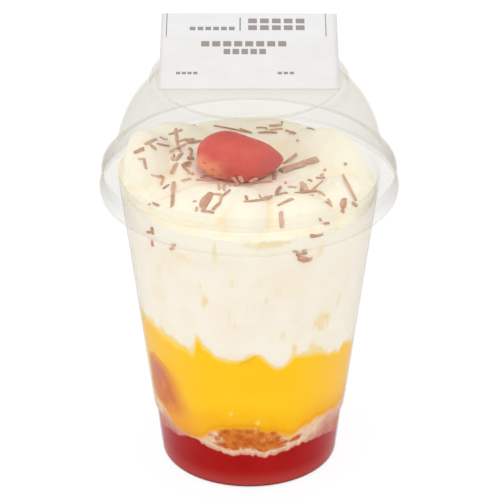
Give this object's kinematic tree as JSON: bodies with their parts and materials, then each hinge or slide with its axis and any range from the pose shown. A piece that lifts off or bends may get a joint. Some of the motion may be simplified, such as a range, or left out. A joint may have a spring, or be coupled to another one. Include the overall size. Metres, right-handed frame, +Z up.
{
  "type": "layered trifle in a clear cup with a domed lid",
  "caption": "Layered trifle of jelly, sponge, custard and whipped cream with strawberry, in a clear tapered cup with a domed lid and a plain paper label.",
  "frame": {"origin": "centre of the cup's foot, on the surface it stands on", "axes": "+Z up along the cup's axis; -Y is the front; the label runs back over the lid towards +Y"},
  "size_m": [0.101, 0.101, 0.1433],
  "materials": {
    "cup_plastic": "clear, smooth, thin",
    "lid_plastic": "clear, smooth, faintly hazy",
    "label_paper": "smooth white label paper with a pale panel and grey bars",
    "jelly": "wet, glossy, deep strawberry red",
    "sponge": "open pale crumb with a browned crust",
    "custard": "smooth, soft sheen, egg yellow",
    "cream": "whipped, soft, ivory",
    "strawberry": "glazed red fruit",
    "chocolate": "milk chocolate shavings"
  },
  "bodies": {
    "root": {"cup": "cup_plastic", "jelly": "jelly", "sponge": "sponge", "custard": "custard", "wall_strawberry": "strawberry", "cream": "cream", "top_strawberry": "strawberry", "lid": "lid_plastic", "label": "label_paper"}
  },
  "joints": []
}
